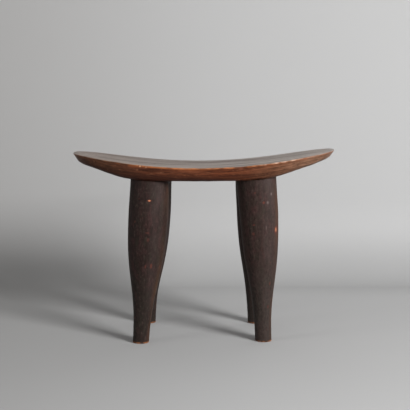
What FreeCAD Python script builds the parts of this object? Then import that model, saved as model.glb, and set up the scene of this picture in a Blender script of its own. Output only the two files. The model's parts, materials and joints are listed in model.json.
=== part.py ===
# A carved wooden stool. A curved oval seat, high at both ends, stands on four round
# club-shaped legs that lean outwards. Each leg ends in a round stub tenon that fills a blind
# socket in the seat, and a hidden wedge in the tenon's end spreads it so that it can't draw out.
#
# Millimetres. +X runs along the seat, +Y to the back, +Z up. The origin is on the floor,
# under the middle of the seat.
import FreeCAD
import Part
import math
import os

Vector = FreeCAD.Vector

# Seat
seat_length = 564.0
seat_width = 272.0
seat_height = 370.5        # the top of the seat at its middle, above the floor
end_rise = 30.0            # how far the ends of the rim stand above that
seat_thickness = 26.8      # at the middle, from the top to the underside
left_underside_rise = 43.0     # how far the underside rises where its curve leaves each end
right_underside_rise = 49.5
side_undercut = 13.0       # how far the flank falls in below the rim at the middle
left_end_undercut = 18.0   # the same at the ends, over the same height
right_end_undercut = 22.0
rim_bevel = 1.8            # wear on the upper edge
bilge_bevel = 5.0          # the softened edge between flank and underside
bilge_easing = 3.0         # the radius along both edges of that bevel
seat_tilt = 0.65           # degrees: the right end stands a little higher than the left

# Legs. The stool is cut by eye, so no two of them lean or swell quite alike.
left_belly_radius = 42.2
right_belly_radius = 40.4
foot_radius = 17.1
foot_edge = 1.6            # wear round the foot
front_end_inset = 170.0    # from the end of the seat to a leg's axis, under the seat
back_end_inset = 169.0
side_inset = 61.0          # the same from the side of the seat
front_left_splay_x = 21.0  # how much further out its foot stands
front_left_splay_y = 23.0
front_right_splay_x = 15.0
front_right_splay_y = 8.0
back_left_splay_x = 15.5
back_left_splay_y = 22.5
back_right_splay_x = 5.0
back_right_splay_y = 20.0

# Joint between leg and seat
tenon_radius = 21.0
tenon_length = 21.0        # above the level of the middle of the underside
tenon_clearance = 0.15     # all round the tenon
socket_clearance = 1.0     # beyond the tenon's end
shoulder_clearance = 0.1   # between the leg's shoulder and the underside
wedge_length = 16.0
wedge_head = 4.6           # the wedge's thickness at its head
wedge_tip = 1.2
wedge_clearance = 0.1

# How far a cutting tool runs past what it cuts
overrun = 20.0

# The seat's long curves: shares of the half length from the middle, and of the rise
top_run_shares = (0.5, 0.78, 1.0, 1.08)
top_rise_shares = (0.29, 0.67, 1.0, 1.12)
underside_run_shares = (0.24, 0.54, 0.67, 0.79, 0.92, 1.08)
underside_rise_shares = (0.0, 0.115, 0.325, 0.58, 0.78, 1.0)

# The hull's levels, as shares of the height from the middle of the underside to the ends of
# the rim, and the share of the side undercut that is left at each
hull_level_shares = (-0.15, 0.0, 0.2, 0.47, 0.75, 1.0, 1.2)
side_inset_shares = (1.4, 1.0, 0.4, 0.0, -0.2, 0.0, 0.2)
hull_exponent = 2.9        # 2 is an ellipse, and more is squarer
hull_points = 48

# The leg's outline: shares of its length from the foot, and of the belly's radius
leg_run_shares = (0.134, 0.257, 0.355, 0.455, 0.55, 0.70, 0.85, 1.0)
leg_radius_shares = (0.45, 0.544, 0.666, 0.803, 0.903, 0.978, 1.0, 0.993)
leg_flats = 20             # the long cuts of the knife, side by side round the leg

half_length = seat_length / 2
half_width = seat_width / 2
underside_height = seat_height - seat_thickness
end_height = seat_height + end_rise


def smooth_curve(points):
    """One smooth edge through the points."""
    curve = Part.BSplineCurve()
    curve.interpolate(points)
    return curve.toShape()


def long_curve(middle_height, left_rise, right_rise, run_shares, rise_shares):
    """A curve along the whole seat, rising from its middle past both ends."""
    points = [Vector(0, 0, middle_height)]
    for run, share in zip(run_shares, rise_shares):
        points.append(Vector(half_length * run, 0, middle_height + right_rise * share))
        points.insert(0, Vector(-half_length * run, 0, middle_height + left_rise * share))
    return smooth_curve(points)


def tilted(shape):
    """The shape turned with the seat, about a line between the ends of the rim."""
    shape.rotate(Vector(0, 0, end_height), Vector(0, 1, 0), -seat_tilt)
    return shape


def seat_plate():
    """The bent board between the two long curves, wider than the seat."""
    top = long_curve(seat_height, end_rise, end_rise, top_run_shares, top_rise_shares)
    under = long_curve(
        underside_height, left_underside_rise, right_underside_rise,
        underside_run_shares, underside_rise_shares,
    )
    left_end = Part.makeLine(top.valueAt(top.FirstParameter), under.valueAt(under.FirstParameter))
    right_end = Part.makeLine(top.valueAt(top.LastParameter), under.valueAt(under.LastParameter))
    outline = Part.Wire([top, right_end, under, left_end])
    plate = Part.Face(outline).extrude(Vector(0, seat_width + 2 * overrun, 0))
    plate.translate(Vector(0, -half_width - overrun, 0))
    return tilted(plate)


def hull_outline(level, left_x, right_x, half_y):
    """A closed superellipse at one height, with its own reach to the left and to the right."""
    power = 2 / hull_exponent
    points = []
    for step in range(hull_points):
        angle = 2 * math.pi * step / hull_points
        along, across = math.cos(angle), math.sin(angle)
        points.append(Vector(
            (right_x if along > 0 else left_x) * math.copysign(abs(along) ** power, along),
            half_y * math.copysign(abs(across) ** power, across),
            level,
        ))
    curve = Part.BSplineCurve()
    curve.interpolate(points, PeriodicFlag=True)
    return Part.Wire(curve.toShape())


def seat_hull():
    """The boat-shaped block that gives the seat its plan and its undercut flank."""
    outlines = []
    for level_share, inset_share in zip(hull_level_shares, side_inset_shares):
        level = underside_height + (end_height - underside_height) * level_share
        depth = (end_height - level) / seat_thickness
        left_x, right_x = half_length - left_end_undercut * depth, half_length - right_end_undercut * depth
        half_y = half_width - side_undercut * inset_share
        outlines.append(hull_outline(level, left_x, right_x, half_y))
    return tilted(Part.makeLoft(outlines, True))


def loops(shape):
    """The edges that close on themselves, the lowest first."""
    return sorted((edge for edge in shape.Edges if edge.isClosed()), key=lambda edge: edge.BoundBox.ZMin)


def seat_blank(plate):
    """The seat before its sockets, with a worn rim and a softened bilge."""
    blank = plate.common(seat_hull()).Solids[0]
    blank = blank.makeChamfer(rim_bevel, loops(blank)[-1:])
    blank = blank.makeChamfer(bilge_bevel, loops(blank)[:1])
    return blank.makeFillet(bilge_easing, loops(blank)[:2])


def on_leg(shape, foot, head):
    """The shape moved from a leg's own frame, with +Z up its axis, to its place."""
    shape.Placement = FreeCAD.Placement(foot, FreeCAD.Rotation(Vector(0, 0, 1), head - foot))
    return shape


def leg_ring(radius, level):
    """The many-sided outline of a leg at one height in its own frame."""
    corners = []
    for step in range(leg_flats):
        angle = 2 * math.pi * step / leg_flats
        corners.append(Vector(radius * math.cos(angle), radius * math.sin(angle), level))
    return Part.makePolygon(corners + corners[:1])


def leg_club(length, belly_radius):
    """A leg's body in its own frame, cut in long flats and run on past both ends."""
    rings = [leg_ring(foot_radius, -overrun), leg_ring(foot_radius, 0)]
    for run, share in zip(leg_run_shares, leg_radius_shares):
        rings.append(leg_ring(belly_radius * share, length * run))
    rings.append(leg_ring(belly_radius * leg_radius_shares[-1], length + overrun))
    return Part.makeLoft(rings, True)


def wedge_block(length, spare):
    """A tapered block across the tenon, larger all over by the spare."""
    head = length + tenon_length + socket_clearance - wedge_clearance
    tip = head - wedge_length
    half_head, half_tip = wedge_head / 2 + spare, wedge_tip / 2 + spare
    corners = [
        Vector(-half_tip, -tenon_radius, tip - spare),
        Vector(half_tip, -tenon_radius, tip - spare),
        Vector(half_head, -tenon_radius, head + spare),
        Vector(-half_head, -tenon_radius, head + spare),
    ]
    block = Part.Face(Part.makePolygon(corners + corners[:1]))
    return block.extrude(Vector(0, 2 * tenon_radius, 0))


def wedge(length):
    """The wedge in a leg's own frame: its narrow sides are round, flush with the tenon's."""
    tenon = Part.makeCylinder(tenon_radius, length + tenon_length + socket_clearance)
    return wedge_block(length, 0).common(tenon).Solids[0]


def foot_trimmer(foot):
    """A block with a funnel in its top. It cuts a foot flat at the floor and bevels its edge."""
    mouth = foot_radius - foot_edge
    reach = mouth + 2 * overrun
    funnel = Part.makeLoft([leg_ring(mouth, 0), leg_ring(mouth + overrun, overrun)], True, True)
    block = Part.makeBox(2 * reach, 2 * reach, 3 * overrun, Vector(-reach, -reach, -2 * overrun))
    return block.cut(funnel).translated(foot)


def leg(foot, head, belly_radius, plate):
    """A leg in its place: flat foot, shoulder against the underside, and kerfed tenon."""
    length = (head - foot).Length
    club = on_leg(leg_club(length, belly_radius), foot, head)
    gap = plate.translated(Vector(0, 0, -shoulder_clearance))
    club = club.cut(foot_trimmer(foot)).cut(gap).Solids[0]
    tenon = Part.makeCylinder(tenon_radius, tenon_length + overrun, Vector(0, 0, length - overrun))
    kerf = wedge_block(length, wedge_clearance)
    return club.fuse(on_leg(tenon.cut(kerf), foot, head)).removeSplitter().Solids[0]


def socket(foot, head):
    """What a leg's tenon needs cut from the seat."""
    length = (head - foot).Length
    return on_leg(Part.makeCylinder(
        tenon_radius + tenon_clearance,
        tenon_length + socket_clearance + overrun,
        Vector(0, 0, length - overrun),
    ), foot, head)


def main():
    plate = seat_plate()
    seat = seat_blank(plate)
    legs = (
        ("front_left", -1, -1, front_end_inset, front_left_splay_x, front_left_splay_y, left_belly_radius),
        ("front_right", 1, -1, front_end_inset, front_right_splay_x, front_right_splay_y, right_belly_radius),
        ("back_left", -1, 1, back_end_inset, back_left_splay_x, back_left_splay_y, left_belly_radius),
        ("back_right", 1, 1, back_end_inset, back_right_splay_x, back_right_splay_y, right_belly_radius),
    )
    parts = {}
    for place, side_x, side_y, end_inset, splay_x, splay_y, belly_radius in legs:
        spread_x, spread_y = half_length - end_inset, half_width - side_inset
        head = Vector(side_x * spread_x, side_y * spread_y, underside_height)
        foot = Vector(side_x * (spread_x + splay_x), side_y * (spread_y + splay_y), 0)
        parts["leg_" + place] = leg(foot, head, belly_radius, plate)
        parts["wedge_" + place] = on_leg(wedge((head - foot).Length), foot, head)
        seat = seat.cut(socket(foot, head))
    parts["seat"] = seat.Solids[0]

    os.makedirs("parts", exist_ok=True)
    for name, shape in parts.items():
        shape.exportStep("parts/" + name + ".step")


main()
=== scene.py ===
# %% [markdown]
# A carved wooden stool, ready to be looked at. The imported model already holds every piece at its
# real size, so this notebook only gives the pieces their surfaces: the marks of the knife, the
# worn edges, the chips, and wood that looks like wood. Everything is in metres, and it stays in
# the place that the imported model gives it.

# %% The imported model
import itertools
import json
import math

import bmesh
import bpy
import numpy as np
from mathutils import Matrix, Vector
from mathutils.bvhtree import BVHTree


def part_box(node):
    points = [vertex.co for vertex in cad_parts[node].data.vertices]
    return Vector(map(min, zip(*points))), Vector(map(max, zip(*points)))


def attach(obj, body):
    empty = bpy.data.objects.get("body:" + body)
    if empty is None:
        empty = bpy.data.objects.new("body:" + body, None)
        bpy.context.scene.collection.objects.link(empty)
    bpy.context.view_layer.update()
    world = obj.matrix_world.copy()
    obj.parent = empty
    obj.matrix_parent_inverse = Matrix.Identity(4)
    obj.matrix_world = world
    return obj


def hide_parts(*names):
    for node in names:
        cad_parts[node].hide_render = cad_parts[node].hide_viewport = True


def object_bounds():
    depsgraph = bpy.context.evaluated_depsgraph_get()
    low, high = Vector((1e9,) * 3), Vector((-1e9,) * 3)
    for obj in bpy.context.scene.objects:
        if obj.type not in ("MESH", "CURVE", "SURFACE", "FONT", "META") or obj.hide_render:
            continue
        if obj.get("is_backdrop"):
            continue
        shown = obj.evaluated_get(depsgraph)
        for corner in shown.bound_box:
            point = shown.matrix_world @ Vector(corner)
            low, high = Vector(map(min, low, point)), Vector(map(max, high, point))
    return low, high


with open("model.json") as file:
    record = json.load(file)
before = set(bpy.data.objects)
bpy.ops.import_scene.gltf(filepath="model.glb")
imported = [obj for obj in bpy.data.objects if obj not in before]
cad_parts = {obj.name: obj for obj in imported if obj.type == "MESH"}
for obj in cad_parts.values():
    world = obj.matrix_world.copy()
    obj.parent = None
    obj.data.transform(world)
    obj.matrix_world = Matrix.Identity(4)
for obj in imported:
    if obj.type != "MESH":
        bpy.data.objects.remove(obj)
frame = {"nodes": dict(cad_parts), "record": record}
cad_low, cad_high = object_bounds()
mm = 0.001
print("pieces:", sorted(frame["nodes"]))
print("box in mm:", [round((high - low) / mm, 1) for low, high in zip(cad_low, cad_high)])


def add_object(name, data):
    """A new object in the scene."""
    holder = bpy.data.objects.new(name, data)
    bpy.context.scene.collection.objects.link(holder)
    return holder


# %% [markdown]
# The camera comes first, because some marks are placed by where they show in the photograph. It
# stands a little over two metres away at about the height of a seated person's chest, and looks
# down by six degrees. A long lens at that distance keeps the four legs nearly upright.

# %% The camera
photo_width = 410
focal_pixels = 1014
camera_place = Vector((2.7 * mm, -2200 * mm, 508.5 * mm))
camera_pitch = math.radians(5.9)

camera_data = bpy.data.cameras.new("camera")
camera_data.sensor_width = 36
camera_data.lens = camera_data.sensor_width * focal_pixels / photo_width
camera = add_object("camera", camera_data)
camera.location = camera_place
camera.rotation_euler = (math.radians(90) - camera_pitch, 0, 0)
bpy.context.scene.camera = camera


def sight_line(pixel):
    """The direction in which the camera sees a pixel of the photograph."""
    across = (pixel[0] - photo_width / 2) / focal_pixels
    up = (photo_width / 2 - pixel[1]) / focal_pixels
    return (camera.rotation_euler.to_matrix() @ Vector((across, up, -1))).normalized()


print(f"lens: {camera_data.lens:.1f} mm")

# %% [markdown]
# Hand work is never quite even. Two helpers bring that in. Smooth noise is a cloud of random
# values that change over a chosen distance; it comes from a seeded table, so every run gives the
# same stool. Softening averages each value with its neighbours, round a closed ring or along a
# line. A third helper turns a list of points and faces into a piece.

# %% Helpers for shapes
noise_table_size = 4096
noise_primes = np.array([73856093, 19349663, 83492791])


def smooth_noise(points, cell, seed):
    """Values from -1 to 1 at the points, which change over about one cell, given in mm."""
    table = np.random.default_rng(seed).uniform(-1, 1, noise_table_size)
    grid = points / (np.array(cell) * mm)
    corner = np.floor(grid).astype(np.int64)
    share = grid - corner
    share = share * share * (3 - 2 * share)
    total = np.zeros(len(points))
    for step in itertools.product((0, 1), repeat=3):
        key = np.bitwise_xor.reduce((corner + step) * noise_primes, axis=1) % noise_table_size
        total += np.where(step, share, 1 - share).prod(axis=1) * table[key]
    return total


def layered_noise(points, *layers):
    """Smooth noises on top of one another, each with its height, its cell and its seed."""
    return sum(height * smooth_noise(points, cell, seed) for height, cell, seed in layers)


def soften_ring(values, times):
    """Each value mixed with its two neighbours round a closed ring, which is the first axis."""
    for _ in range(times):
        values = (np.roll(values, 1, axis=0) + 2 * values + np.roll(values, -1, axis=0)) / 4
    return values


def soften_line(values, times):
    """The same along a line, whose two ends stay."""
    values = np.array(values, float)
    for _ in range(times):
        values[1:-1] = (values[:-2] + 2 * values[1:-1] + values[2:]) / 4
    return values


def step_up(value, low, high):
    """0 below low, 1 above high, and smooth between them."""
    share = np.clip((value - low) / (high - low), 0, 1)
    return share * share * (3 - 2 * share)


def nearest_turn(angle):
    """The same angle, from minus half a turn to plus half a turn."""
    return (angle + math.pi) % (2 * math.pi) - math.pi


def make_piece(name, points, faces):
    """A smooth-shaded mesh object."""
    mesh = bpy.data.meshes.new(name)
    mesh.from_pydata(points.tolist(), [], faces)
    mesh.shade_smooth()
    return add_object(name, mesh)


def ring_faces(first, second):
    """Four-sided faces between rows of vertex numbers, where each row is a closed ring."""
    corners = (first, np.roll(first, -1, axis=1), np.roll(second, -1, axis=1), second)
    return np.stack(corners, axis=2).reshape(-1, 4).tolist()


def read_skin(piece):
    """The places of a piece's vertices and the ways that they face, as rows of x, y and z."""
    found = []
    for rows, name in ((piece.data.vertices, "co"), (piece.data.vertex_normals, "vector")):
        values = np.empty(3 * len(rows), np.float32)
        rows.foreach_get(name, values)
        found.append(values.reshape(-1, 3).astype(float))
    return found


def write_points(piece, points):
    """Moves the vertices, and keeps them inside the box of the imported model."""
    inside = np.clip(points, np.array(cad_low), np.array(cad_high))
    piece.data.vertices.foreach_set("co", inside.ravel())
    piece.data.update()


def raise_skin(piece, heights):
    """Moves each vertex outwards by its height in mm."""
    points, normals = read_skin(piece)
    write_points(piece, points + normals * (heights * mm)[:, None])


def store(piece, **facts):
    """Keeps numbers or vectors with each vertex, under their names, for a material to read."""
    for name, values in facts.items():
        many = values.ndim == 2
        layer = piece.data.attributes.new(name, "FLOAT_VECTOR" if many else "FLOAT", "POINT")
        layer.data.foreach_set("vector" if many else "value", values.astype(np.float32).ravel())


def cut_away(piece, tool):
    """Cuts a tool out of a piece, and clears points that the cut left in the middle of edges."""
    modifier = piece.modifiers.new("cut", "BOOLEAN")
    modifier.operation = "DIFFERENCE"
    modifier.solver = "EXACT"
    modifier.object = tool
    with bpy.context.temp_override(object=piece, active_object=piece):
        bpy.ops.object.modifier_apply(modifier=modifier.name)
    bpy.data.objects.remove(tool)
    shape = bmesh.new()
    shape.from_mesh(piece.data)
    needless = [vertex for vertex in shape.verts if len(vertex.link_edges) == 2]
    bmesh.ops.dissolve_verts(shape, verts=needless)
    shape.to_mesh(piece.data)
    shape.free()
    print(piece.name, "was cut, needless points cleared:", len(needless))


def rays_of(node):
    """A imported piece, ready to be hit by rays."""
    return BVHTree.FromObject(frame["nodes"][node], bpy.context.evaluated_depsgraph_get())


# %% [markdown]
# Where do the legs stand? Each foot is a mount of the record, and the hidden wedge in the tenon
# lies on the leg's axis, so the line from the foot through the wedge's middle is that axis. A leg
# is easiest to shape in its own frame, in which up is along its axis.

# %% The axes of the legs
leg_places = ("front_left", "front_right", "back_left", "back_right")
feet = {mount["name"]: Vector(mount["pos_m"]) for mount in frame["record"]["mounts"]}


class LegFrame:
    """A leg's foot, its axis, two directions across it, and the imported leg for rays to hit."""

    def __init__(self, place):
        self.foot = np.array(feet["foot_" + place])
        self.rays = rays_of("leg_" + place)
        middle = read_skin(frame["nodes"]["wedge_" + place])[0].mean(axis=0)
        self.up = (middle - self.foot) / np.linalg.norm(middle - self.foot)
        right = np.array((1, 0, 0)) - self.up[0] * self.up
        self.right = right / np.linalg.norm(right)
        self.back = np.cross(self.up, self.right)
        self.axes = np.array((self.right, self.back, self.up))

    def on_axis(self, height):
        """The point that lies so far up the axis."""
        return Vector(self.foot + self.up * height)

    def to_world(self, local):
        """Points in the leg's frame, as points of the whole."""
        return self.foot + local @ self.axes

    def to_local(self, world):
        """The other way round."""
        return (world - self.foot) @ self.axes.T


leg_frames = {place: LegFrame(place) for place in leg_places}
for place, leg_frame in leg_frames.items():
    lean = math.degrees(math.acos(leg_frame.up[2]))
    print(f"{place} leans by {lean:.1f} degrees")

# %% [markdown]
# The seat is one board with a bend along its length. Its top and its underside are each curved
# along X only, so one row of rays down the middle measures both. The flank is different at every
# place, so it gets a fan of rays at each of many stations round the seat, from straight up,
# through outwards, to straight down. The fan starts inside the wood, a little in from the rim,
# and sees the whole edge from there. A carver's underside is never a fair curve, so it also gets
# a sag of up to two millimetres, where the photograph shows it hang lower or stand higher.

# %% Measure the seat
sag_places = (-250, -182, -110, -50, 15, 50, 110, 178, 195, 211, 228, 250)      # mm along X
sag_depths = (0, 0.9, 0.8, 0.8, 1.8, 1.7, 0.8, -1.8, -1.2, 0.5, 1.8, 0.8)
profile_margin, profile_count = 22 * mm, 261
ray_gap = 100 * mm         # from the seat to where the rays down its middle start
oval_steps = 20001
station_count = 640
end_stations = 54          # stations from the tip of an end to its corner
fan_rays = 601
plan_exponent = 2.9        # of the oval plan: 2 is an ellipse, and more is squarer
end_margin = 36 * mm       # from the rim to the start of the fans
side_margin = 28 * mm

seat_rays = rays_of("seat")
seat_low, seat_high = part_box("seat")
profile_x = np.linspace(seat_low.x + profile_margin, seat_high.x - profile_margin, profile_count)
above, below = Vector((0, 0, seat_high.z + ray_gap)), Vector((0, 0, seat_low.z - ray_gap))
top_z, under_z = [], []
for x in profile_x:
    top_z.append(seat_rays.ray_cast(above + Vector((x, 0, 0)), Vector((0, 0, -1)))[0].z)
    under_z.append(seat_rays.ray_cast(below + Vector((x, 0, 0)), Vector((0, 0, 1)))[0].z)
top_z, under_z = soften_line(top_z, 6), soften_line(under_z, 6)


def top_at(x):
    """The height of the seat's top above a place along it."""
    return np.interp(x, profile_x, top_z)


def sag_at(x):
    """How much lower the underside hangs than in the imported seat."""
    return np.interp(x / mm, sag_places, sag_depths) * mm


def under_at(x):
    """The height of the underside, with its sag."""
    return np.interp(x, profile_x, under_z) - sag_at(x)


half_length = (seat_high.x - seat_low.x) / 2 - end_margin
half_width = (seat_high.y - seat_low.y) / 2 - side_margin
turn = np.linspace(0, 2 * math.pi, oval_steps)
power = 2 / plan_exponent
oval_x = half_length * np.sign(np.cos(turn)) * np.abs(np.cos(turn)) ** power
oval_y = half_width * np.sign(np.sin(turn)) * np.abs(np.sin(turn)) ** power
walked = np.concatenate(([0], np.cumsum(np.hypot(np.diff(oval_x), np.diff(oval_y)))))
stations = np.arange(station_count)
start_x, start_y = (
    np.interp(stations * walked[-1] / station_count, walked, oval) for oval in (oval_x, oval_y)
)
along_x = np.roll(start_x, -1) - np.roll(start_x, 1)
along_y = np.roll(start_y, -1) - np.roll(start_y, 1)
outward = np.stack((along_y, -along_x), axis=1)
outward = soften_ring(outward / np.hypot(along_x, along_y)[:, None], 8)
outward /= np.linalg.norm(outward, axis=1)[:, None]

fan = np.radians(np.linspace(90, -90, fan_rays))
edge_out, edge_up = np.empty((2, station_count, fan_rays))
start_z = (top_at(start_x) + under_at(start_x) + sag_at(start_x)) / 2
for spot in stations:
    start = Vector((start_x[spot], start_y[spot], start_z[spot]))
    for ray, angle in enumerate(fan):
        flat = math.cos(angle)
        aim = Vector((outward[spot, 0] * flat, outward[spot, 1] * flat, math.sin(angle)))
        reach = seat_rays.ray_cast(start, aim)[3]
        edge_out[spot, ray], edge_up[spot, ray] = reach * flat, reach * math.sin(angle)
print("stations:", station_count, "rays:", station_count * fan_rays)

# %% [markdown]
# The fans give a very fine outline of the edge at each station. It is redrawn with few points
# that lie where the shape needs them: crowded at the two edges of the worn rim, spread out on the
# flat stretches. The rim's outer edge is the point that reaches furthest out, and its upper edge
# the highest one when the fan's plane is tipped ten degrees. With the same number of points on
# every stretch, each loop of vertices runs cleanly round the whole seat.

# %% The seat's edge, ring by ring
top_rings = 16
rim_rings = 3
flank_rings = 17
bilge_rings = 12
end_crowding, start_crowding = 1.8, 1.5
stretches = (
    ("end", top_rings), ("even", rim_rings), ("start", flank_rings), ("even", bilge_rings),
)


def crowded(count, ends):
    """Shares from 0 to 1 that crowd at the start, at the end or at both."""
    share = np.linspace(0, 1, count + 1)
    if ends == "end":
        return 1 - (1 - share) ** end_crowding
    if ends == "start":
        return share ** start_crowding
    return share


edge_walk = np.hypot(np.diff(edge_out, axis=1), np.diff(edge_up, axis=1)).cumsum(axis=1)
edge_walk = np.hstack((np.zeros((station_count, 1)), edge_walk))


def walk_to(degrees, times):
    """How far along each outline its furthest point lies, in a direction above the level."""
    angle = math.radians(degrees)
    furthest = (edge_out * math.cos(angle) + edge_up * math.sin(angle)).argmax(axis=1)
    return soften_ring(edge_walk[stations, furthest], times)


upper_walk, outer_walk, bilge_walk = walk_to(80, 2), walk_to(0, 2), walk_to(-50, 60)
ring_walks = []
for spot in stations:
    stops = (0, upper_walk[spot], outer_walk[spot], bilge_walk[spot], edge_walk[spot, -1])
    walk = [0]
    for (ends, count), low, high in zip(stretches, stops, stops[1:]):
        walk.extend(low + (high - low) * crowded(count, ends)[1:])
    ring_walks.append(walk)
ring_walks = np.array(ring_walks)
ring_count = ring_walks.shape[1]
ring_out, ring_up = (
    soften_ring(np.array([np.interp(ring_walks[s], edge_walk[s], edge[s]) for s in stations]), 4)
    for edge in (edge_out, edge_up)
)
first_rim_ring, last_rim_ring = top_rings, top_rings + rim_rings
print(f"rings: {ring_count}, rim bevel: {(outer_walk - upper_walk).mean() / mm:.2f} mm")

# %% [markdown]
# Hands and clothes wear a rim unevenly. The wear is a number round the ring of stations: along
# the front it follows the bright stretches of the photograph, elsewhere it is noise. Where it is
# high the two edges of the bevel melt into one round; where it is low they stay crisp. From about
# 100 to 200 mm right of the middle, the high wear also carries a painted glint in the finish.

# %% Wear round the rim
# mm along X, and the wear of the front of the rim there
front_places = (-280, -175, -152, -140, -118, -40, 0, 55, 64, 86, 98, 130, 200, 280)
front_wear = (0.35, 0.2, 0.3, 0.95, 0.65, 0.55, 0.5, 0.7, 0.2, 0.25, 0.8, 0.85, 0.65, 0.4)
wear_elsewhere = 0.45
station_points = np.stack((start_x, start_y, start_z), axis=1)
at_front = step_up(-start_y, 20 * mm, 70 * mm)
rim_wear = at_front * np.interp(start_x / mm, front_places, front_wear)
rim_wear += (1 - at_front) * wear_elsewhere
rim_wear += layered_noise(station_points, (0.12 + 0.25 * (1 - at_front), 55, 11), (0.25, 12, 12))
rim_wear = np.clip(rim_wear, 0, 1)
worn_rings = slice(first_rim_ring - 3, last_rim_ring + 4)
for _ in range(5):
    for side in (ring_out, ring_up):
        softer = soften_line(side.T, 1).T
        side[:, worn_rings] += (softer - side)[:, worn_rings] * rim_wear[:, None]
print(f"wear from {rim_wear.min():.2f} to {rim_wear.max():.2f}")

# %% [markdown]
# The rings leave an open oval on the top and on the underside. A fan of triangles would fill it,
# but it would pinch in the middle and show in the sheen. A square grid bent into the oval has no
# such point: its four sides become four stretches of the outline, and its middle stays square.

# %% Fill the oval with a bent grid
grid_across = 2 * end_stations
grid_along = (station_count - 2 * grid_across) // 2
straight_share = 0.8


def bent_grid():
    """Plan points in the oval, and for each cell corner its number, or its station as -1 - n."""
    columns, rows = np.arange(grid_along + 1), np.arange(grid_across + 1)
    along, across = np.meshgrid(
        2 * columns / grid_along - 1, 2 * rows / grid_across - 1, indexing="ij",
    )
    reach = np.maximum(np.abs(along), np.abs(across))
    ways = np.stack((along, across)) / np.where(reach > 0, reach, 1)
    off_along, off_across = ways[0] * grid_along / 2, ways[1] * grid_across / 2
    station = np.select(
        (np.abs(ways[1]) < ways[0], np.abs(ways[1]) < -ways[0], ways[1] > 0),
        (off_across, station_count / 2 - off_across, station_count / 4 - off_along),
        3 * station_count / 4 + off_along,
    )
    low = np.floor(station).astype(int)
    share, bend = station - low, reach ** 3
    plan = []
    for start, straight in ((start_x, along * half_length), (start_y, across * half_width)):
        border = start[low % station_count] * (1 - share) + start[(low + 1) % station_count] * share
        plan.append(straight * straight_share * (1 - bend) + border * reach * bend)
    inner = (slice(1, -1), slice(1, -1))
    numbers = -1 - np.round(station).astype(int) % station_count
    numbers[inner] = np.arange(numbers[inner].size).reshape(numbers[inner].shape)
    return np.column_stack([values[inner].ravel() for values in plan]), numbers


grid_plan, grid_numbers = bent_grid()


def grid_faces(first_inner, border, flip):
    """The grid's faces, where border holds the vertex of each station."""
    on_border = border[-1 - np.minimum(grid_numbers, -1)]
    vertices = np.where(grid_numbers < 0, on_border, first_inner + grid_numbers)
    corners = (vertices[:-1, :-1], vertices[1:, :-1], vertices[1:, 1:], vertices[:-1, 1:])
    return np.stack(corners[::-1] if flip else corners, axis=2).reshape(-1, 4).tolist()


print("grid:", grid_along, "by", grid_across, "cells on each side")

# %% [markdown]
# Now the two fillings and the rings become one closed skin.

# %% The seat's skin
ring_x = start_x[:, None] + outward[:, :1] * ring_out
ring_y = start_y[:, None] + outward[:, 1:] * ring_out
down_share = (ring_walks - outer_walk[:, None]) / (bilge_walk - outer_walk)[:, None]
ring_z = start_z[:, None] + ring_up - sag_at(ring_x) * step_up(down_share, 0.2, 1)
ring_points = np.stack((ring_x, ring_y, ring_z), axis=2)
ring_points[:, 0, 2] = top_at(start_x)
ring_points[:, -1, 2] = under_at(start_x)
rings = ring_points.transpose(1, 0, 2).reshape(-1, 3)
ring_numbers = np.arange(ring_count * station_count).reshape(ring_count, station_count)
top_points = np.column_stack((grid_plan, top_at(grid_plan[:, 0])))
under_points = np.column_stack((grid_plan, under_at(grid_plan[:, 0])))
first_top, first_under = len(rings), len(rings) + len(top_points)
seat_faces = grid_faces(first_top, ring_numbers[0], False)
seat_faces += grid_faces(first_under, ring_numbers[-1], True)
seat_faces += ring_faces(ring_numbers[1:], ring_numbers[:-1])
seat = make_piece("carved_seat", np.concatenate((rings, top_points, under_points)), seat_faces)
print("vertices of the seat:", len(seat.data.vertices))

# %% [markdown]
# Each vertex learns where it lies: on the top, on the flank or underneath, and how far from the
# rim. The tool marks need that now, and the finish needs it later. The maker scraped the top
# nearly smooth along the grain, pared the flank with a knife in long shallow cuts, and left the
# underside as the adze did it, in rows of small hollows.

# %% Tool marks on the seat
inner_count = len(top_points)
far_inside, far_below = -40 * mm, 80 * mm      # on the top and underneath, well away from the rim
rim_reach, wear_reach = 2.5 * mm, 6 * mm       # how far the rim and its wear reach to either side
rim_walk = (upper_walk + outer_walk) / 2
from_rim = np.concatenate((
    (ring_walks - rim_walk[:, None]).T.ravel(),
    np.full(inner_count, far_inside),
    np.full(inner_count, far_below),
))
flank_length = np.concatenate((
    np.tile(bilge_walk - rim_walk, ring_count),
    np.full(2 * inner_count, float((bilge_walk - rim_walk).mean())),
))
bent = read_skin(seat)[0]
bent[:, 2] -= top_at(bent[:, 0])
down_flank = from_rim / flank_length
is_top = step_up(-from_rim, -1 * mm, 1 * mm)
is_under = step_up(down_flank, 0.85, 1.15)
is_flank = (1 - is_top) * (1 - is_under)

# heights in mm
scraped = layered_noise(bent, (0.1, (110, 17, 40), 21), (0.05, (45, 6, 40), 22))
pared = layered_noise(bent, (0.28, (34, 34, 6), 23), (0.12, (13, 13, 3), 24))
hollows = 0.15 - 0.55 * np.abs(smooth_noise(bent, (21, 17, 30), 25))
hollows += layered_noise(bent, (0.08, (6, 5, 10), 26))
near_rim = np.exp(-(from_rim / rim_reach) ** 2)
bitten = -0.35 * near_rim * step_up(smooth_noise(bent, 9, 27), 0.2, 0.8)
marks = (is_top * scraped + is_flank * pared + is_under * hollows) * (1 - 0.7 * near_rim) + bitten
raise_skin(seat, marks)
print(f"marks from {marks.min():.2f} to {marks.max():.2f} mm")

# %% [markdown]
# A few dents are placed where the photograph shows them. The camera's line through a pixel is
# followed until it meets the seat, and the wood round that point is pressed in.

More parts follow.
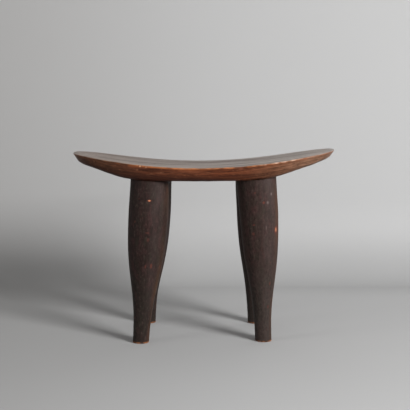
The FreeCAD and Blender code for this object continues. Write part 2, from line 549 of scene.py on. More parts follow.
# %% Dents that the photograph shows
seat_dents = {             # pixel across and down, radius in mm, depth in mm, how bare
    "bright nick in the worn stretch": ((140, 166), 3.6, 0.8, 0.9),
    "small nick beside it": ((146, 167), 2.6, 0.6, 0.8),
    "knot below it": ((141, 170.5), 3.2, 0.3, 0.14),
    "chip where the bright line dips": ((241, 167.6), 7.0, 1.2, 0.35),
    "bruise on the right flank": ((248, 172), 4.0, 0.3, 0.25),
    "small nick on the right": ((320.5, 154.6), 3.0, 0.8, 0.1),
    "dip in the back rim": ((262, 157.6), 13.0, 1.3, 0.1),
}


def seen_at(rays, pixel):
    """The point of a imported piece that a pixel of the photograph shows."""
    return rays.ray_cast(camera_place, sight_line(pixel))[0]


seat_points, seat_normals = read_skin(seat)
seat_bare = np.zeros(len(seat_points))
for name, (pixel, radius, depth, strength) in seat_dents.items():
    place = np.array(seen_at(seat_rays, pixel))
    press = np.exp(-(((seat_points - place) / (radius * mm)) ** 2).sum(axis=1))
    seat_points -= seat_normals * (press * depth * mm)[:, None]
    seat_bare = np.maximum(seat_bare, press * strength)
    print(name, "at", [round(float(c) / mm) for c in place])
write_points(seat, seat_points)

# %% [markdown]
# The top of an old stool is never one colour. Sweat and polish leave brown stretches, and dust
# and soap pale ones. The largest that the photograph shows are drawn as soft patches, long along
# the grain and narrow across it, with a wander so that none is a plain oval. A patch adds a
# number above 0 where it is paler than the rest and below 0 where it is browner.

# %% Patches on the top
top_patches = {            # pixel at its middle, half length and half width in mm, how pale
    "brown stretch along the back": ((224, 161.7), 105, 24, -1.5),
    "brown edge at the left, along the back": ((122, 156.4), 95, 20, -0.8),
    "brown streak right of the middle": ((247, 163.2), 62, 9, -0.8),
    "pale stretch in the middle": ((194, 166.4), 85, 24, 0.5),
    "pale left end": ((89, 155.4), 34, 36, 0.6),
    "pale stretch on the right": ((284, 159.2), 60, 30, 0.4),
    "pale right end": ((318, 153.6), 30, 45, 0.7),
    "dark streak on the right": ((271, 158.6), 60, 10, -1.1),
    "second dark streak on the right": ((300, 154.6), 42, 10, -0.9),
}
wandering = bent.copy()
wandering[:, 0] += layered_noise(bent, (22 * mm, (60, 14, 60), 31))
wandering[:, 1] += layered_noise(bent, (9 * mm, (75, 30, 60), 32))
patches = np.zeros(len(seat_points))
for name, (pixel, half_long, half_wide, pale) in top_patches.items():
    middle = np.array(seen_at(seat_rays, pixel))
    off = (wandering - middle)[:, :2] / (np.array((half_long, half_wide)) * mm)
    patches += pale * np.exp(-(off ** 2).sum(axis=1))
patches *= 1 + layered_noise(bent, (0.5, (50, 7, 60), 33))
print(f"patches from {patches.min():.2f} to {patches.max():.2f}")

# %% [markdown]
# What the finish will ask of each vertex is stored with the mesh: where it lies in the wood, as
# if the board were straight; how near it is to the rim; how far down the flank; how worn the rim
# is there. Then the four blind sockets are bored. Nobody sees them, but the tenons need them.

# %% Store the seat's facts and bore its sockets
wear_along = np.concatenate((np.tile(rim_wear, ring_count), np.zeros(2 * inner_count)))
store(
    seat, grain=bent, rim=near_rim, down=np.clip(down_flank, -1, 2),
    wear=wear_along * np.exp(-(from_rim / wear_reach) ** 2),
    bare=seat_bare, topside=is_top, patches=patches,
)
socket_sides = 72
socket_tool_length = 60 * mm
under_sockets = 250 * mm   # a height up every leg's axis that lies in the open air below the seat
socket_probe = 6 * mm      # below the socket's floor, where its radius is measured


def bore_socket(leg_frame):
    """Cuts one socket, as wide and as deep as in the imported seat."""
    start = leg_frame.on_axis(under_sockets)
    depth = seat_rays.ray_cast(start, Vector(leg_frame.up))[3] + under_sockets
    inside = leg_frame.on_axis(depth - socket_probe)
    radius = seat_rays.ray_cast(inside, Vector(leg_frame.back))[3]
    middle = leg_frame.on_axis(depth - socket_tool_length / 2)
    shape = bmesh.new()
    bmesh.ops.create_cone(
        shape, cap_ends=True, segments=socket_sides,
        radius1=radius, radius2=radius, depth=socket_tool_length,
    )
    turned = Matrix(leg_frame.axes.tolist()).transposed().to_4x4()
    bmesh.ops.transform(shape, matrix=Matrix.Translation(middle) @ turned, verts=shape.verts)
    mesh = bpy.data.meshes.new("socket_tool")
    shape.to_mesh(mesh)
    shape.free()
    cut_away(seat, add_object("socket_tool", mesh))
    print(f"socket radius {radius / mm:.2f} mm, floor {depth / mm:.1f} mm up the axis")


for leg_frame in leg_frames.values():
    bore_socket(leg_frame)
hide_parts("seat")
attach(seat, "root")
print("vertices of the bored seat:", len(seat.data.vertices))

# %% [markdown]
# A leg is a round club that a knife has gone over from end to end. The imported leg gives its
# outline: rays from the axis measure the radius at many heights. Over that go long flats, each as
# wide as a blade, that come and go along the leg. A flat is a straight chord across the round, so
# the leg's skin at any angle is the nearest of the chords. No leg is quite straight or quite like
# the next: each bows sideways and swells by up to two millimetres, as the photograph shows it.

# %% Measure a leg
sway_heights = (0, 0.18, 0.38, 0.58, 0.78, 0.9, 1.0)       # shares of the way up
leg_bows = {               # mm to the right at those heights
    "front_left": (0, 0.5, 0.7, 0.4, 0.4, -0.4, -0.8),
    "front_right": (-0.4, 0.2, 1.8, 1.8, 1.0, -0.7, -1.8),
    "back_left": (0, -1.4, 0.5, 0.5, 0.4, -0.5, -0.8),
    "back_right": (0, -0.9, 0.4, 0.8, 0.3, -0.8, -1.2),
}
leg_swells = {             # mm on the radius
    "front_left": (-0.4, -0.3, 0.4, 0.3, 0.2, -1.1, -1.5),
    "front_right": (0.4, 0.3, -0.1, -0.5, 0.7, 1.1, 1.9),
    "back_left": (0, 0, 0.2, 0, 0, -0.3, -0.5),
    "back_right": (0, 0, 0, 0, 0.3, 0.8, 1.0),
}
ring_sides = 144
foot_rings = 7             # on the sole and round its worn edge
side_rings = 165
measure_low, measure_high = 16 * mm, 325 * mm
measure_heights = 90
measure_sides = 40
flat_widths = (0.17, 0.36)             # radians
most_flats = 30
round_left = 0.1 * mm                  # how far the round may stand above it, between two flats
leg_softening = 20
ring_crowding = 0.0125                 # how much the rings crowd towards both ends
leg_length = 345 * mm      # roughly, for the marks of the knife along it
shoulder_gap = 0.12 * mm
foot_wear = 1.7 * mm
shoulder_wear = 0.6 * mm
tenon_wear = 0.5 * mm
kerf_air = 0.1 * mm
kerf_overrun = 2 * mm      # of the tool that cuts the kerf, past the sides of the tenon
angles = np.linspace(0, 2 * math.pi, ring_sides, endpoint=False)
ring_cos, ring_sin = np.cos(angles), np.sin(angles)


def measure_radius(place):
    """Heights up the axis of a leg, and the radius of the round that its flats are cut from."""
    leg_frame = leg_frames[place]
    heights = np.linspace(measure_low, measure_high, measure_heights)
    radii = []
    for height in heights:
        start = leg_frame.on_axis(height)
        reaches = []
        for angle in np.linspace(0, 2 * math.pi, measure_sides, endpoint=False):
            aim = leg_frame.right * math.cos(angle) + leg_frame.back * math.sin(angle)
            reaches.append(leg_frame.rays.ray_cast(start, Vector(aim))[3])
        radii.append(max(reaches))
    return heights, soften_line(radii, 3)


def knife_flats(height, radius, seed):
    """Radii round the leg where flats have been cut along it."""
    random = np.random.default_rng(seed)
    middles = np.cumsum(random.uniform(*flat_widths, most_flats))
    middles = middles[middles < 2 * math.pi - 0.1]
    cut = np.full((len(height), ring_sides), np.inf)
    for number, middle in enumerate(middles):
        line = np.column_stack((height, np.full_like(height, number), np.zeros_like(height)))
        wander = 0.06 * smooth_noise(line, (130, 370, 1000), seed + 1)
        depth = 0.18 + 0.26 * smooth_noise(line, (70, 410, 1000), seed + 2)
        off = nearest_turn(angles[None] - middle - wander[:, None])
        chord = (radius - depth * mm)[:, None] / np.maximum(np.cos(off), 0.2)
        cut = np.minimum(cut, chord)
    cut = np.minimum(cut, radius[:, None] + round_left)
    return soften_ring(cut.T, 6).T


def shoulder_height(leg_frame, radius):
    """How far up the axis the underside lies, at a radius from it and all the way round."""
    across = np.column_stack((ring_cos * radius, ring_sin * radius, np.zeros(ring_sides)))
    start = leg_frame.to_world(across)
    height = np.full(ring_sides, leg_length)
    for _ in range(8):
        x = start[:, 0] + height * leg_frame.up[0]
        height = (under_at(x) - shoulder_gap - start[:, 2]) / leg_frame.up[2]
    return height


# %% [markdown]
# The leg is then built from rings, from the middle of its sole, round the worn edge of the foot,
# up the side, over the shoulder and up the tenon. The sole lies in the plane of the floor, and
# the shoulder follows the curve of the seat, so the side's rings are stretched between the two.

# %% Build a leg


def leg_rings(place, seed):
    """The rings of a leg in its own frame, and for each its share of the way up."""
    leg_frame = leg_frames[place]
    node_points = leg_frame.to_local(read_skin(frame["nodes"]["leg_" + place])[0])
    tenon_top = node_points[:, 2].max()
    tenon_radius = np.hypot(*node_points[node_points[:, 2] > tenon_top - 1 * mm, :2].T).max()
    heights, radii = measure_radius(place)
    rise = leg_frame.right[2] * ring_cos + leg_frame.back[2] * ring_sin
    floor_slope = -rise / leg_frame.up[2]

    share = np.linspace(0, 1, side_rings)
    share = share - ring_crowding * np.sin(4 * math.pi * share)
    guess = share * leg_length
    swell = np.interp(share, sway_heights, leg_swells[place]) * mm
    uncut = np.interp(guess, heights, radii) + soften_line(swell, leg_softening)
    radius = knife_flats(guess, uncut, seed)
    low = floor_slope * radius[0]
    high = shoulder_height(leg_frame, radius[-1])
    low_end, high_end = low + foot_wear, high - shoulder_wear
    bows = soften_line(np.interp(share, sway_heights, leg_bows[place]) * mm, leg_softening)
    rows = []

    def add(radius_row, height_row, run, bow=0):
        x, y = ring_cos * radius_row + bow, ring_sin * radius_row
        rows.append((np.column_stack((x, y, height_row)), run))

    for part in (0.3, 0.6, 0.85):
        add(radius[0] * part, floor_slope * radius[0] * part, 0)
    for quarter in np.radians((0, 22.5, 45, 67.5)):
        bevel = radius[0] - foot_wear * (1 - math.sin(quarter))
        add(bevel, floor_slope * bevel + foot_wear * (1 - math.cos(quarter)), 0)
    for row, run in enumerate(share):
        add(radius[row], low_end + (high_end - low_end) * run, run, bows[row])
    for quarter in np.radians((30, 60, 90)):
        bevel = radius[-1] - shoulder_wear * (1 - math.cos(quarter))
        add(bevel, high - shoulder_wear * (1 - math.sin(quarter)), 1, bows[-1])
    for part in np.linspace(0.2, 1, 6):
        inner = (radius[-1] - shoulder_wear) * (1 - part) + tenon_radius * part
        add(inner, shoulder_height(leg_frame, inner), 1, bows[-1] * (1 - part))
    root, tip = shoulder_height(leg_frame, tenon_radius), tenon_top - tenon_wear
    for part in (0.25, 0.5, 0.75, 1):
        add(tenon_radius, root + (tip - root) * part, 1)
    for part in (1, 0.6, 0.3):
        add((tenon_radius - tenon_wear) * part, np.full(ring_sides, tenon_top), 1)
    return rows, tenon_top


def leg_skin(place, seed):
    """The closed skin of a leg, in its place, and how far up each vertex lies."""
    rows, tenon_top = leg_rings(place, seed)
    local = np.concatenate([points for points, run in rows] + [[(0, 0, 0), (0, 0, tenon_top)]])
    runs = np.concatenate([np.full(ring_sides, run) for points, run in rows] + [[0, 1]])
    numbers = np.arange(len(rows) * ring_sides).reshape(len(rows), ring_sides)
    faces = ring_faces(numbers[:-1], numbers[1:])
    sole, cap = len(local) - 2, len(local) - 1
    for spot in range(ring_sides):
        following = (spot + 1) % ring_sides
        faces.append((sole, int(numbers[0][following]), int(numbers[0][spot])))
        faces.append((cap, int(numbers[-1][spot]), int(numbers[-1][following])))
    return make_piece("carved_leg_" + place, leg_frames[place].to_world(local), faces), local, runs


def kerf_tool(place):
    """The tapered slot in the tenon: the wedge with a little air round it."""
    wedge_points = leg_frames[place].to_local(read_skin(frame["nodes"]["wedge_" + place])[0])
    tip, head = wedge_points[:, 2].min(), wedge_points[:, 2].max()
    wide = np.abs(wedge_points[:, 1]).max() + kerf_overrun
    half_tip = np.abs(wedge_points[wedge_points[:, 2] < tip + kerf_air, 0]).max() + kerf_air
    half_head = np.abs(wedge_points[wedge_points[:, 2] > head - kerf_air, 0]).max() + kerf_air
    corners = []
    for half, height in ((half_tip, tip - kerf_air), (half_head, head + kerf_air)):
        corners += [(-half, -wide, height), (half, -wide, height)]
        corners += [(half, wide, height), (-half, wide, height)]
    faces = [(3, 2, 1, 0), (4, 5, 6, 7), (0, 1, 5, 4), (1, 2, 6, 5), (2, 3, 7, 6), (3, 0, 4, 7)]
    return make_piece("kerf_tool", leg_frames[place].to_world(np.array(corners)), faces)


# %% [markdown]
# The black skin of the legs is chipped in places, and the wood shows through. The chips that the
# photograph shows are placed by their pixels, each with a size, a depth and how bare the wood is.
# Small random ones go over the rest, mostly low down and near the edges, where feet knock them.

# %% Chips on the legs
leg_chips = {              # pixel, half width and half height in mm, depth in mm, how bare
    "front_left": (
        ((149.4, 200.8), 4.2, 2.2, 0.8, 1.0),
        ((134.7, 221.7), 3.4, 4.0, 0.4, 0.3),
        ((142.4, 218), 3.0, 3.6, 0.3, 0.2),
        ((147.3, 233), 6.0, 2.6, 0.3, 0.3),
        ((147.9, 240), 4.0, 6.0, 0.3, 0.28),
        ((142.7, 246), 2.6, 2.6, 0.4, 0.2),
        ((151, 265.8), 2.8, 6.4, 0.5, 0.54),
        ((159.6, 266.6), 3.0, 6.0, 0.4, 0.35),
    ),
    "front_right": (
        ((263.6, 202.7), 3.2, 3.2, 0.6, 0.62),
        ((255, 193), 3.4, 2.4, 0.3, 0.45),
        ((254, 225), 3.6, 2.0, 0.3, 0.45),
        ((253.3, 234), 4.2, 4.2, 0.3, 0.35),
        ((275.4, 229.5), 6.0, 9.0, 0.4, 0.72),
        ((276.6, 222), 3.0, 26.0, 0.2, 0.35),
        ((268, 306.6), 3.4, 5.0, 0.4, 0.3),
    ),
}
random_chips = 34
chip_half_widths, chip_stretches = (0.8, 2.2), (0.8, 3)    # mm, and height over width
chip_depths, chip_bareness = (0.1, 0.4), (0.1, 0.4)        # mm, and how bare
# The pale scrapes are partly painted glints.
leg_scuffs_and_glints = {             # pixel, half width and half height in mm: pale scrapes that cut nothing
    "front_right": (((267.4, 202.6), 3.0, 4.0), ((271, 194), 2.6, 3.6), ((266.2, 227.6), 1.8, 7.0)),
}


def seen_on_leg(place, pixel):
    """The point of a leg, in its own frame, that a pixel of the photograph shows."""
    return leg_frames[place].to_local(np.array(seen_at(leg_frames[place].rays, pixel)))


def spot_on(local, middle, wide, tall):
    """1 at the middle of an upright oval on a leg, and 0 well outside it."""
    off = (local - middle) / (np.array((wide, wide, tall)) * mm)
    return np.exp(-np.minimum((off ** 2).sum(axis=1), 30) ** 1.5)


def add_chips(piece, place, local, runs, seed):
    """Presses the chips in and returns how bare the wood is at each vertex."""
    bare, sunk = np.zeros(len(local)), np.zeros(len(local))
    chips = []
    for pixel, wide, tall, depth, strength in leg_chips.get(place, ()):
        chips.append((seen_on_leg(place, pixel), wide, tall, depth, strength))
    random = np.random.default_rng(seed)
    side = np.flatnonzero((runs > 0) & (runs < 1))
    for number in random.choice(side, random_chips, replace=False):
        wide, stretch = random.uniform(*chip_half_widths), random.uniform(*chip_stretches)
        depth, strength = random.uniform(*chip_depths), random.uniform(*chip_bareness)
        chips.append((local[number], wide, wide * stretch, depth, strength))
    for middle, wide, tall, depth, strength in chips:
        press = spot_on(local, middle, wide, tall)
        sunk += press * depth
        bare = np.maximum(bare, press * strength)
    raise_skin(piece, -sunk * (runs < 1))
    return bare


# %% [markdown]
# All four legs come from the same functions, each with its own seed, so no two are alike. A leg
# remembers where each vertex lies in its own wood, how far up, how bare, and how worn or lit: the
# ridges between the flats lose their black first, and the right-hand side of each leg, the front
# ones most, gets a painted brown edge light. The left legs are a little darker. A painted sheen
# greys the side that faces the lamp, more so near the top. Pale scrapes on that side are partly
# painted glints.

# %% All four legs
# The brown right-hand edge of each leg and the sheen on the side towards the lamp are painted
# light, held in the legs' colour.
painted_edge_light_side = math.radians(-18)      # from +X towards the back
painted_edge_light_width = 0.34                  # radians
painted_edge_light_shares = {"front_left": 1.0, "front_right": 1.0, "back_left": 0.6, "back_right": 0.5}
ridge_heights, ridge_share = (0.02 * mm, 0.28 * mm), 0.35
grain_step = 0.7                     # between the seeds of two legs, so that their grain differs
bloom_side = math.radians(-58)
bloom_width = 0.5
bloom_least, bloom_on_pale, bloom_on_top = 0.15, 0.2, 0.65
scuff_and_glint_strength = 0.9
leg_tones = {"front_left": 0.0, "front_right": 1.0, "back_left": 0.3, "back_right": 0.7}


def carve_leg(place, seed):
    """One finished leg."""
    piece, local, runs = leg_skin(place, seed)
    swell = layered_noise(local, (0.1, (14, 14, 60), seed + 5), (0.05, (4, 4, 26), seed + 6))
    on_side = step_up(runs, 0, 0.02) * step_up(1 - runs, 0, 0.02)
    raise_skin(piece, swell * on_side)
    bare = add_chips(piece, place, local, runs, seed + 7)
    on_rings = slice(foot_rings * ring_sides, (foot_rings + side_rings) * ring_sides)
    side = np.hypot(local[on_rings, 0], local[on_rings, 1]).reshape(side_rings, ring_sides)
    exposed = np.zeros(len(local))
    ridge = step_up(side - soften_ring(side.T, 60).T, *ridge_heights)
    exposed[on_rings] = ridge_share * ridge.ravel()
    around = np.arctan2(local[:, 1], local[:, 0])

    def turned_to(side, width):
        off = nearest_turn(around - side) / width
        return np.exp(-off ** 2) * (runs > 0) * (runs < 1)

    # Painted edge light: the right-hand side of each leg is browned as if lit, besides the worn
    # ridges.
    exposed += turned_to(painted_edge_light_side, painted_edge_light_width) * painted_edge_light_shares[place]
    # Painted sheen on the side that faces the lamp, more near the top and on the paler legs.
    bloom = bloom_least + bloom_on_pale * leg_tones[place] + bloom_on_top * runs ** 2
    bloom = turned_to(bloom_side, bloom_width) * bloom
    # Pale scrapes, partly painted glints, added on top of the painted sheen.
    for pixel, wide, tall in leg_scuffs_and_glints.get(place, ()):
        bloom += scuff_and_glint_strength * spot_on(local, seen_on_leg(place, pixel), wide, tall)
    tone, grain = np.full(len(local), leg_tones[place]), local + np.array((0, 0, grain_step * seed))
    store(piece, bloom=bloom, tone=tone, grain=grain, up=runs, bare=bare, exposed=exposed)
    cut_away(piece, kerf_tool(place))
    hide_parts("leg_" + place)
    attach(piece, "root")
    print(piece.name, "vertices:", len(piece.data.vertices))
    return piece


legs = [carve_leg(place, 100 * (number + 1)) for number, place in enumerate(leg_places)]

# %% [markdown]
# Materials are graphs of small nodes. A helper class adds one node at a time, so that a finish can
# be read from top to bottom like a recipe: each coat goes over the colour so far and says what it
# is. Stretched noise is the base of every wood: fibres are noise that is long one way and fine the
# other two.

# %% Helpers for materials


class Graph:
    """The nodes of a material or a world."""

    def __init__(self, holder):
        holder.use_nodes = True
        self.holder = holder

    def put(self, value, socket):
        """Sets a socket to a value, or links it where the value is another node's output."""
        if isinstance(value, bpy.types.NodeSocket):
            self.holder.node_tree.links.new(value, socket)
        else:
            socket.default_value = value

    def add(self, kind, inputs, **settings):
        """One node."""
        node = self.holder.node_tree.nodes.new("ShaderNode" + kind)
        for name, value in settings.items():
            setattr(node, name, value)
        for name, value in inputs.items():
            self.put(value, node.inputs[name])
        return node

    def calculate(self, operation, first, second):
        """Arithmetic on two values."""
        return self.add("Math", {0: first, 1: second}, operation=operation).outputs["Value"]

    def times(self, value, *others):
        """The product of several values."""
        for other in others:
            value = self.calculate("MULTIPLY", value, other)
        return value

    def ramp(self, value, low, high, first=0.0, last=1.0):
        """The value's stretch from low to high, spread smoothly from first to last."""
        limits = {"From Min": low, "From Max": high, "To Min": first, "To Max": last}
        node = self.add("MapRange", {"Value": value, **limits}, interpolation_type="SMOOTHSTEP")
        return node.outputs["Result"]


class Finish(Graph):
    """A material with its shader, and the colour that coat after coat builds up."""

    def __init__(self, name):
        super().__init__(bpy.data.materials.new(name))
        self.holder.node_tree.nodes.clear()
        self.shader = self.add("BsdfPrincipled", {})
        self.output = self.add("OutputMaterial", {"Surface": self.shader.outputs["BSDF"]})
        self.colour = None

    def stored(self, name, output="Fac"):
        """What a mesh stored under a name."""
        return self.add("Attribute", {}, attribute_name=name).outputs[output]

    def noise(self, where, stretch, detail=4.0, roughness=0.55):
        """Noise from about 0 to 1, with so many cells to the metre along each axis."""
        scaled = self.add("Mapping", {"Vector": where, "Scale": stretch}).outputs["Vector"]
        inputs = {"Vector": scaled, "Scale": 1.0, "Detail": detail, "Roughness": roughness}
        return self.add("TexNoise", inputs).outputs["Fac"]

    def blend(self, share, first, second, label=""):
        """One colour over another, as thick as the share."""
        node = self.add("Mix", {}, data_type="RGBA", label=label)
        self.put(share, node.inputs["Factor"])
        for socket, colour in zip((s for s in node.inputs if s.type == "RGBA"), (first, second)):
            self.put((*colour, 1) if isinstance(colour, tuple) else colour, socket)
        return next(socket for socket in node.outputs if socket.type == "RGBA")

    def coat(self, what, paint, share, *limits):
        """One more coat over the colour so far. Limits spread its share, as in a ramp."""
        share = self.ramp(share, *limits) if limits else share
        self.colour = self.blend(share, self.colour, paint, what)

    def tints(self, value, stops):
        """A colour that changes with the value: places, in rising order, and the colours there."""
        first, last = stops[0][0], stops[-1][0]
        share = self.calculate("DIVIDE", self.calculate("SUBTRACT", value, first), last - first)
        node = self.add("ValToRGB", {"Fac": share})
        elements = node.color_ramp.elements
        elements.remove(elements[1])
        elements[0].color = (*stops[0][1], 1)
        for place, colour in stops[1:]:
            elements.new((place - first) / (last - first)).color = (*colour, 1)
        return node.outputs["Color"]

    def bumps(self, *layers):
        """Raises the surface by several heights, each given as a value and a depth in mm."""
        normal = {}
        for value, depth in layers:
            inputs = {"Height": value, "Distance": depth * mm, "Strength": 1.0, **normal}
            normal = {"Normal": self.add("Bump", inputs).outputs["Normal"]}
        self.put(normal["Normal"], self.shader.inputs["Normal"])

    def shade(self, **sockets):
        """Hands the colour and other values to the shader, with _ for a space in their names."""
        for name, value in {"Base_Color": self.colour, **sockets}.items():
            self.put(value, self.shader.inputs[name.replace("_", " ")])

    def give_to(self, *pieces):
        """Puts the finish on pieces, in place of what they had."""
        for piece in pieces:
            piece.data.materials.clear()
            piece.data.materials.append(self.holder)
        print(self.holder.name, "of", len(self.holder.node_tree.nodes), "nodes, on", len(pieces))


# %% [markdown]
# The seat is a dense reddish brown hardwood, rubbed to a satin by years of use. Its yearly layers
# run along it, and the flank cuts across them, so they show there as bands along the rim. To the
# left the flank is nearly black; to the right it is light brown, where the dark skin has gone and
# where light from the lamp is painted in. The lower flank, which turns under, gets painted shade.
# Small dark nicks and pale scuffs lie over the bands. The top is polished by sitting to a grey
# sheen, and its right end is painted paler to stand in for the lamp's sheen. Along the front of
# the rim the skin is worn through to orange wood, and on the right a pale stretch is a painted
# glint.

# %% The seat's finish
# Towards the right end the bands get lighter, partly as painted light from the lamp on that side.
flank_bands_and_painted_light = (            # metres along X, colour of the dark bands, colour of the light ones
    (-0.2, (0.055, 0.023, 0.012), (0.13, 0.052, 0.027)),
    (-0.12, (0.042, 0.013, 0.006), (0.118, 0.036, 0.017)),
    (-0.03, (0.062, 0.017, 0.0075), (0.18, 0.054, 0.024)),
    (0.05, (0.062, 0.0155, 0.0065), (0.172, 0.049, 0.02)),
    (0.09, (0.062, 0.018, 0.0078), (0.168, 0.052, 0.023)),
    (0.13, (0.085, 0.031, 0.015), (0.215, 0.084, 0.043)),
    (0.22, (0.14, 0.07, 0.041), (0.32, 0.17, 0.105)),
)
# From 0.11 to 0.205 the pale colours are a painted glint of the lamp on the rim, over the worn
# wood.
rim_tints_and_painted_glints = (              # metres along X, colour of the wood laid bare
    (-0.24, (0.28, 0.15, 0.1)), (-0.15, (0.2, 0.075, 0.035)), (-0.13, (0.5, 0.19, 0.075)),
    (0.05, (0.45, 0.17, 0.068)), (0.11, (0.42, 0.18, 0.085)), (0.13, (0.66, 0.43, 0.32)),
    (0.185, (0.62, 0.4, 0.29)), (0.205, (0.36, 0.21, 0.15)),
)


def seat_finish():
    """Layered reddish brown wood with painted light at the right, painted shade low on the flank, a
    greyed top, and a rim worn orange with a painted glint.
    """
    wood = Finish("seat_wood_finish")
    ramp, times, coat = wood.ramp, wood.times, wood.coat
    rim, down, worn, bare, topside, patches = (
        wood.stored(name) for name in ("rim", "down", "wear", "bare", "topside", "patches")
    )
    grain = wood.stored("grain", "Vector")
    along = wood.add("SeparateXYZ", {"Vector": grain}).outputs["X"]
    layers = wood.noise(grain, (15, 60, 300), 5, 0.68)
    wide_layers = wood.noise(grain, (4, 20, 120), 3, 0.5)
    streaks = wood.noise(grain, (3.6, 52, 60), 6, 0.62)
    fibres = wood.noise(grain, (22, 420, 600), 4, 0.65)
    pores = wood.noise(grain, (110, 1500, 1500), 2, 0.5)
    blotches = wood.noise(grain, (10, 26, 90), 3, 0.6)
    nicks = wood.noise(grain, (60, 240, 330), 4, 0.65)
    lines = wood.noise(grain, (16, 360, 600), 5, 0.7)
    rim_breaks = wood.noise(grain, (70, 150, 150), 4, 0.7)

    # The flank's bands, lighter to the right partly as painted light.
    dark, light = (wood.tints(along, [(row[0], row[k]) for row in flank_bands_and_painted_light]) for k in (1, 2))
    band = times(ramp(layers, 0.38, 0.6), ramp(wide_layers, 0.3, 0.62, 0.35, 1))
    wood.colour = wood.blend(band, dark, light)
    # Painted shade on the lower flank, which turns under, heavier to the left.
    lower = times(ramp(down, 0.45, 0.9), ramp(along, -0.04, 0.08, 0.65, 0.12))
    coat("painted shade on the lower flank", (0.036, 0.01, 0.006), lower)
    coat("dark nicks", (0.024, 0.009, 0.006), nicks, 0.57, 0.68, 0, 0.65)
    scuffs = times(ramp(nicks, 0.43, 0.33, 0, 0.5), ramp(down, 1, 0.5))
    coat("pale scuffs", (0.3, 0.125, 0.066), scuffs)
    flank_colour = wood.colour

    wood.colour = wood.blend(ramp(streaks, 0.4, 0.62), (0.115, 0.062, 0.036), (0.32, 0.212, 0.145))
    # Painted sheen: the right end of the top is made paler as if lit by the lamp.
    coat("painted sheen on the right end", (0.4, 0.315, 0.25), along, 0, 0.25, 0, 0.4)
    coat("brown blotches", (0.17, 0.088, 0.048), blotches, 0.5, 0.75, 0, 0.5)
    coat("dark lines", (0.062, 0.031, 0.018), lines, 0.5, 0.62, 0, 0.6)
    coat("pale lines", (0.5, 0.38, 0.29), lines, 0.46, 0.34, 0, 0.45)
    broken = times(patches, ramp(streaks, 0.3, 0.7, 0.3, 1.3))
    coat("pale patches", (0.46, 0.37, 0.31), broken, 0.05, 0.9)
    coat("brown patches", (0.075, 0.034, 0.019), broken, -0.05, -1, 0, 0.85)
    wood.colour = wood.blend(topside, flank_colour, wood.colour, "top and flank")

    coat("dark fibres", (0.045, 0.018, 0.01), fibres, 0.4, 0.72, 0, 0.35)
    skirt = times(
        ramp(down, 0.02, 0.42, 0.85, 0), ramp(worn, 0.2, 0.55),
        ramp(topside, 0.5, 0.1), ramp(layers, 0.4, 0.58, 0.1, 1),
    )
    coat("red wear below the rim", (0.25, 0.072, 0.025), skirt)
    # The worn rim, and on its right a painted glint.
    rubbed = times(
        ramp(rim, 0.32, 0.88), ramp(worn, 0.2, 0.75), ramp(rim_breaks, 0.4, 0.6, 0.1, 1),
    )
    coat("worn rim and painted glint", wood.tints(along, rim_tints_and_painted_glints), rubbed)
    coat("red wood in dents", (0.17, 0.055, 0.028), bare, 0.05, 0.35)
    coat("pale wood in dents", (0.66, 0.34, 0.17), bare, 0.35, 0.85)
    coat("pores", (0.018, 0.009, 0.006), pores, 0.6, 0.74, 0, 0.5)

    gloss = wood.calculate("SUBTRACT", ramp(fibres, 0.3, 0.75, 0.4, 0.56), times(rim, 0.12))
    polish = times(topside, ramp(streaks, 0.35, 0.65, 0.35, 0.9), ramp(broken, -0.9, 0.1, 0.35, 1))
    wood.shade(Roughness=gloss, Specular_IOR_Level=0.16, Coat_Weight=polish, Coat_Roughness=0.3)
    wood.bumps((fibres, 0.25), (pores, -0.12), (layers, 0.2), (blotches, 0.4), (lines, 0.15))
    return wood


seat_finish().give_to(seat)

# %% [markdown]
# The legs were blackened, by smoke or a stain, and then handled until they took a dull sheen.
# Fibres run up them, and a dry crust breaks the black up into fine spots, redder above and more
# olive near the floor. The ridges left by the knife are browner, the soles show orange brown wood
# round their worn edge, and chips go down to the red wood under the black.

# %% The legs' finish


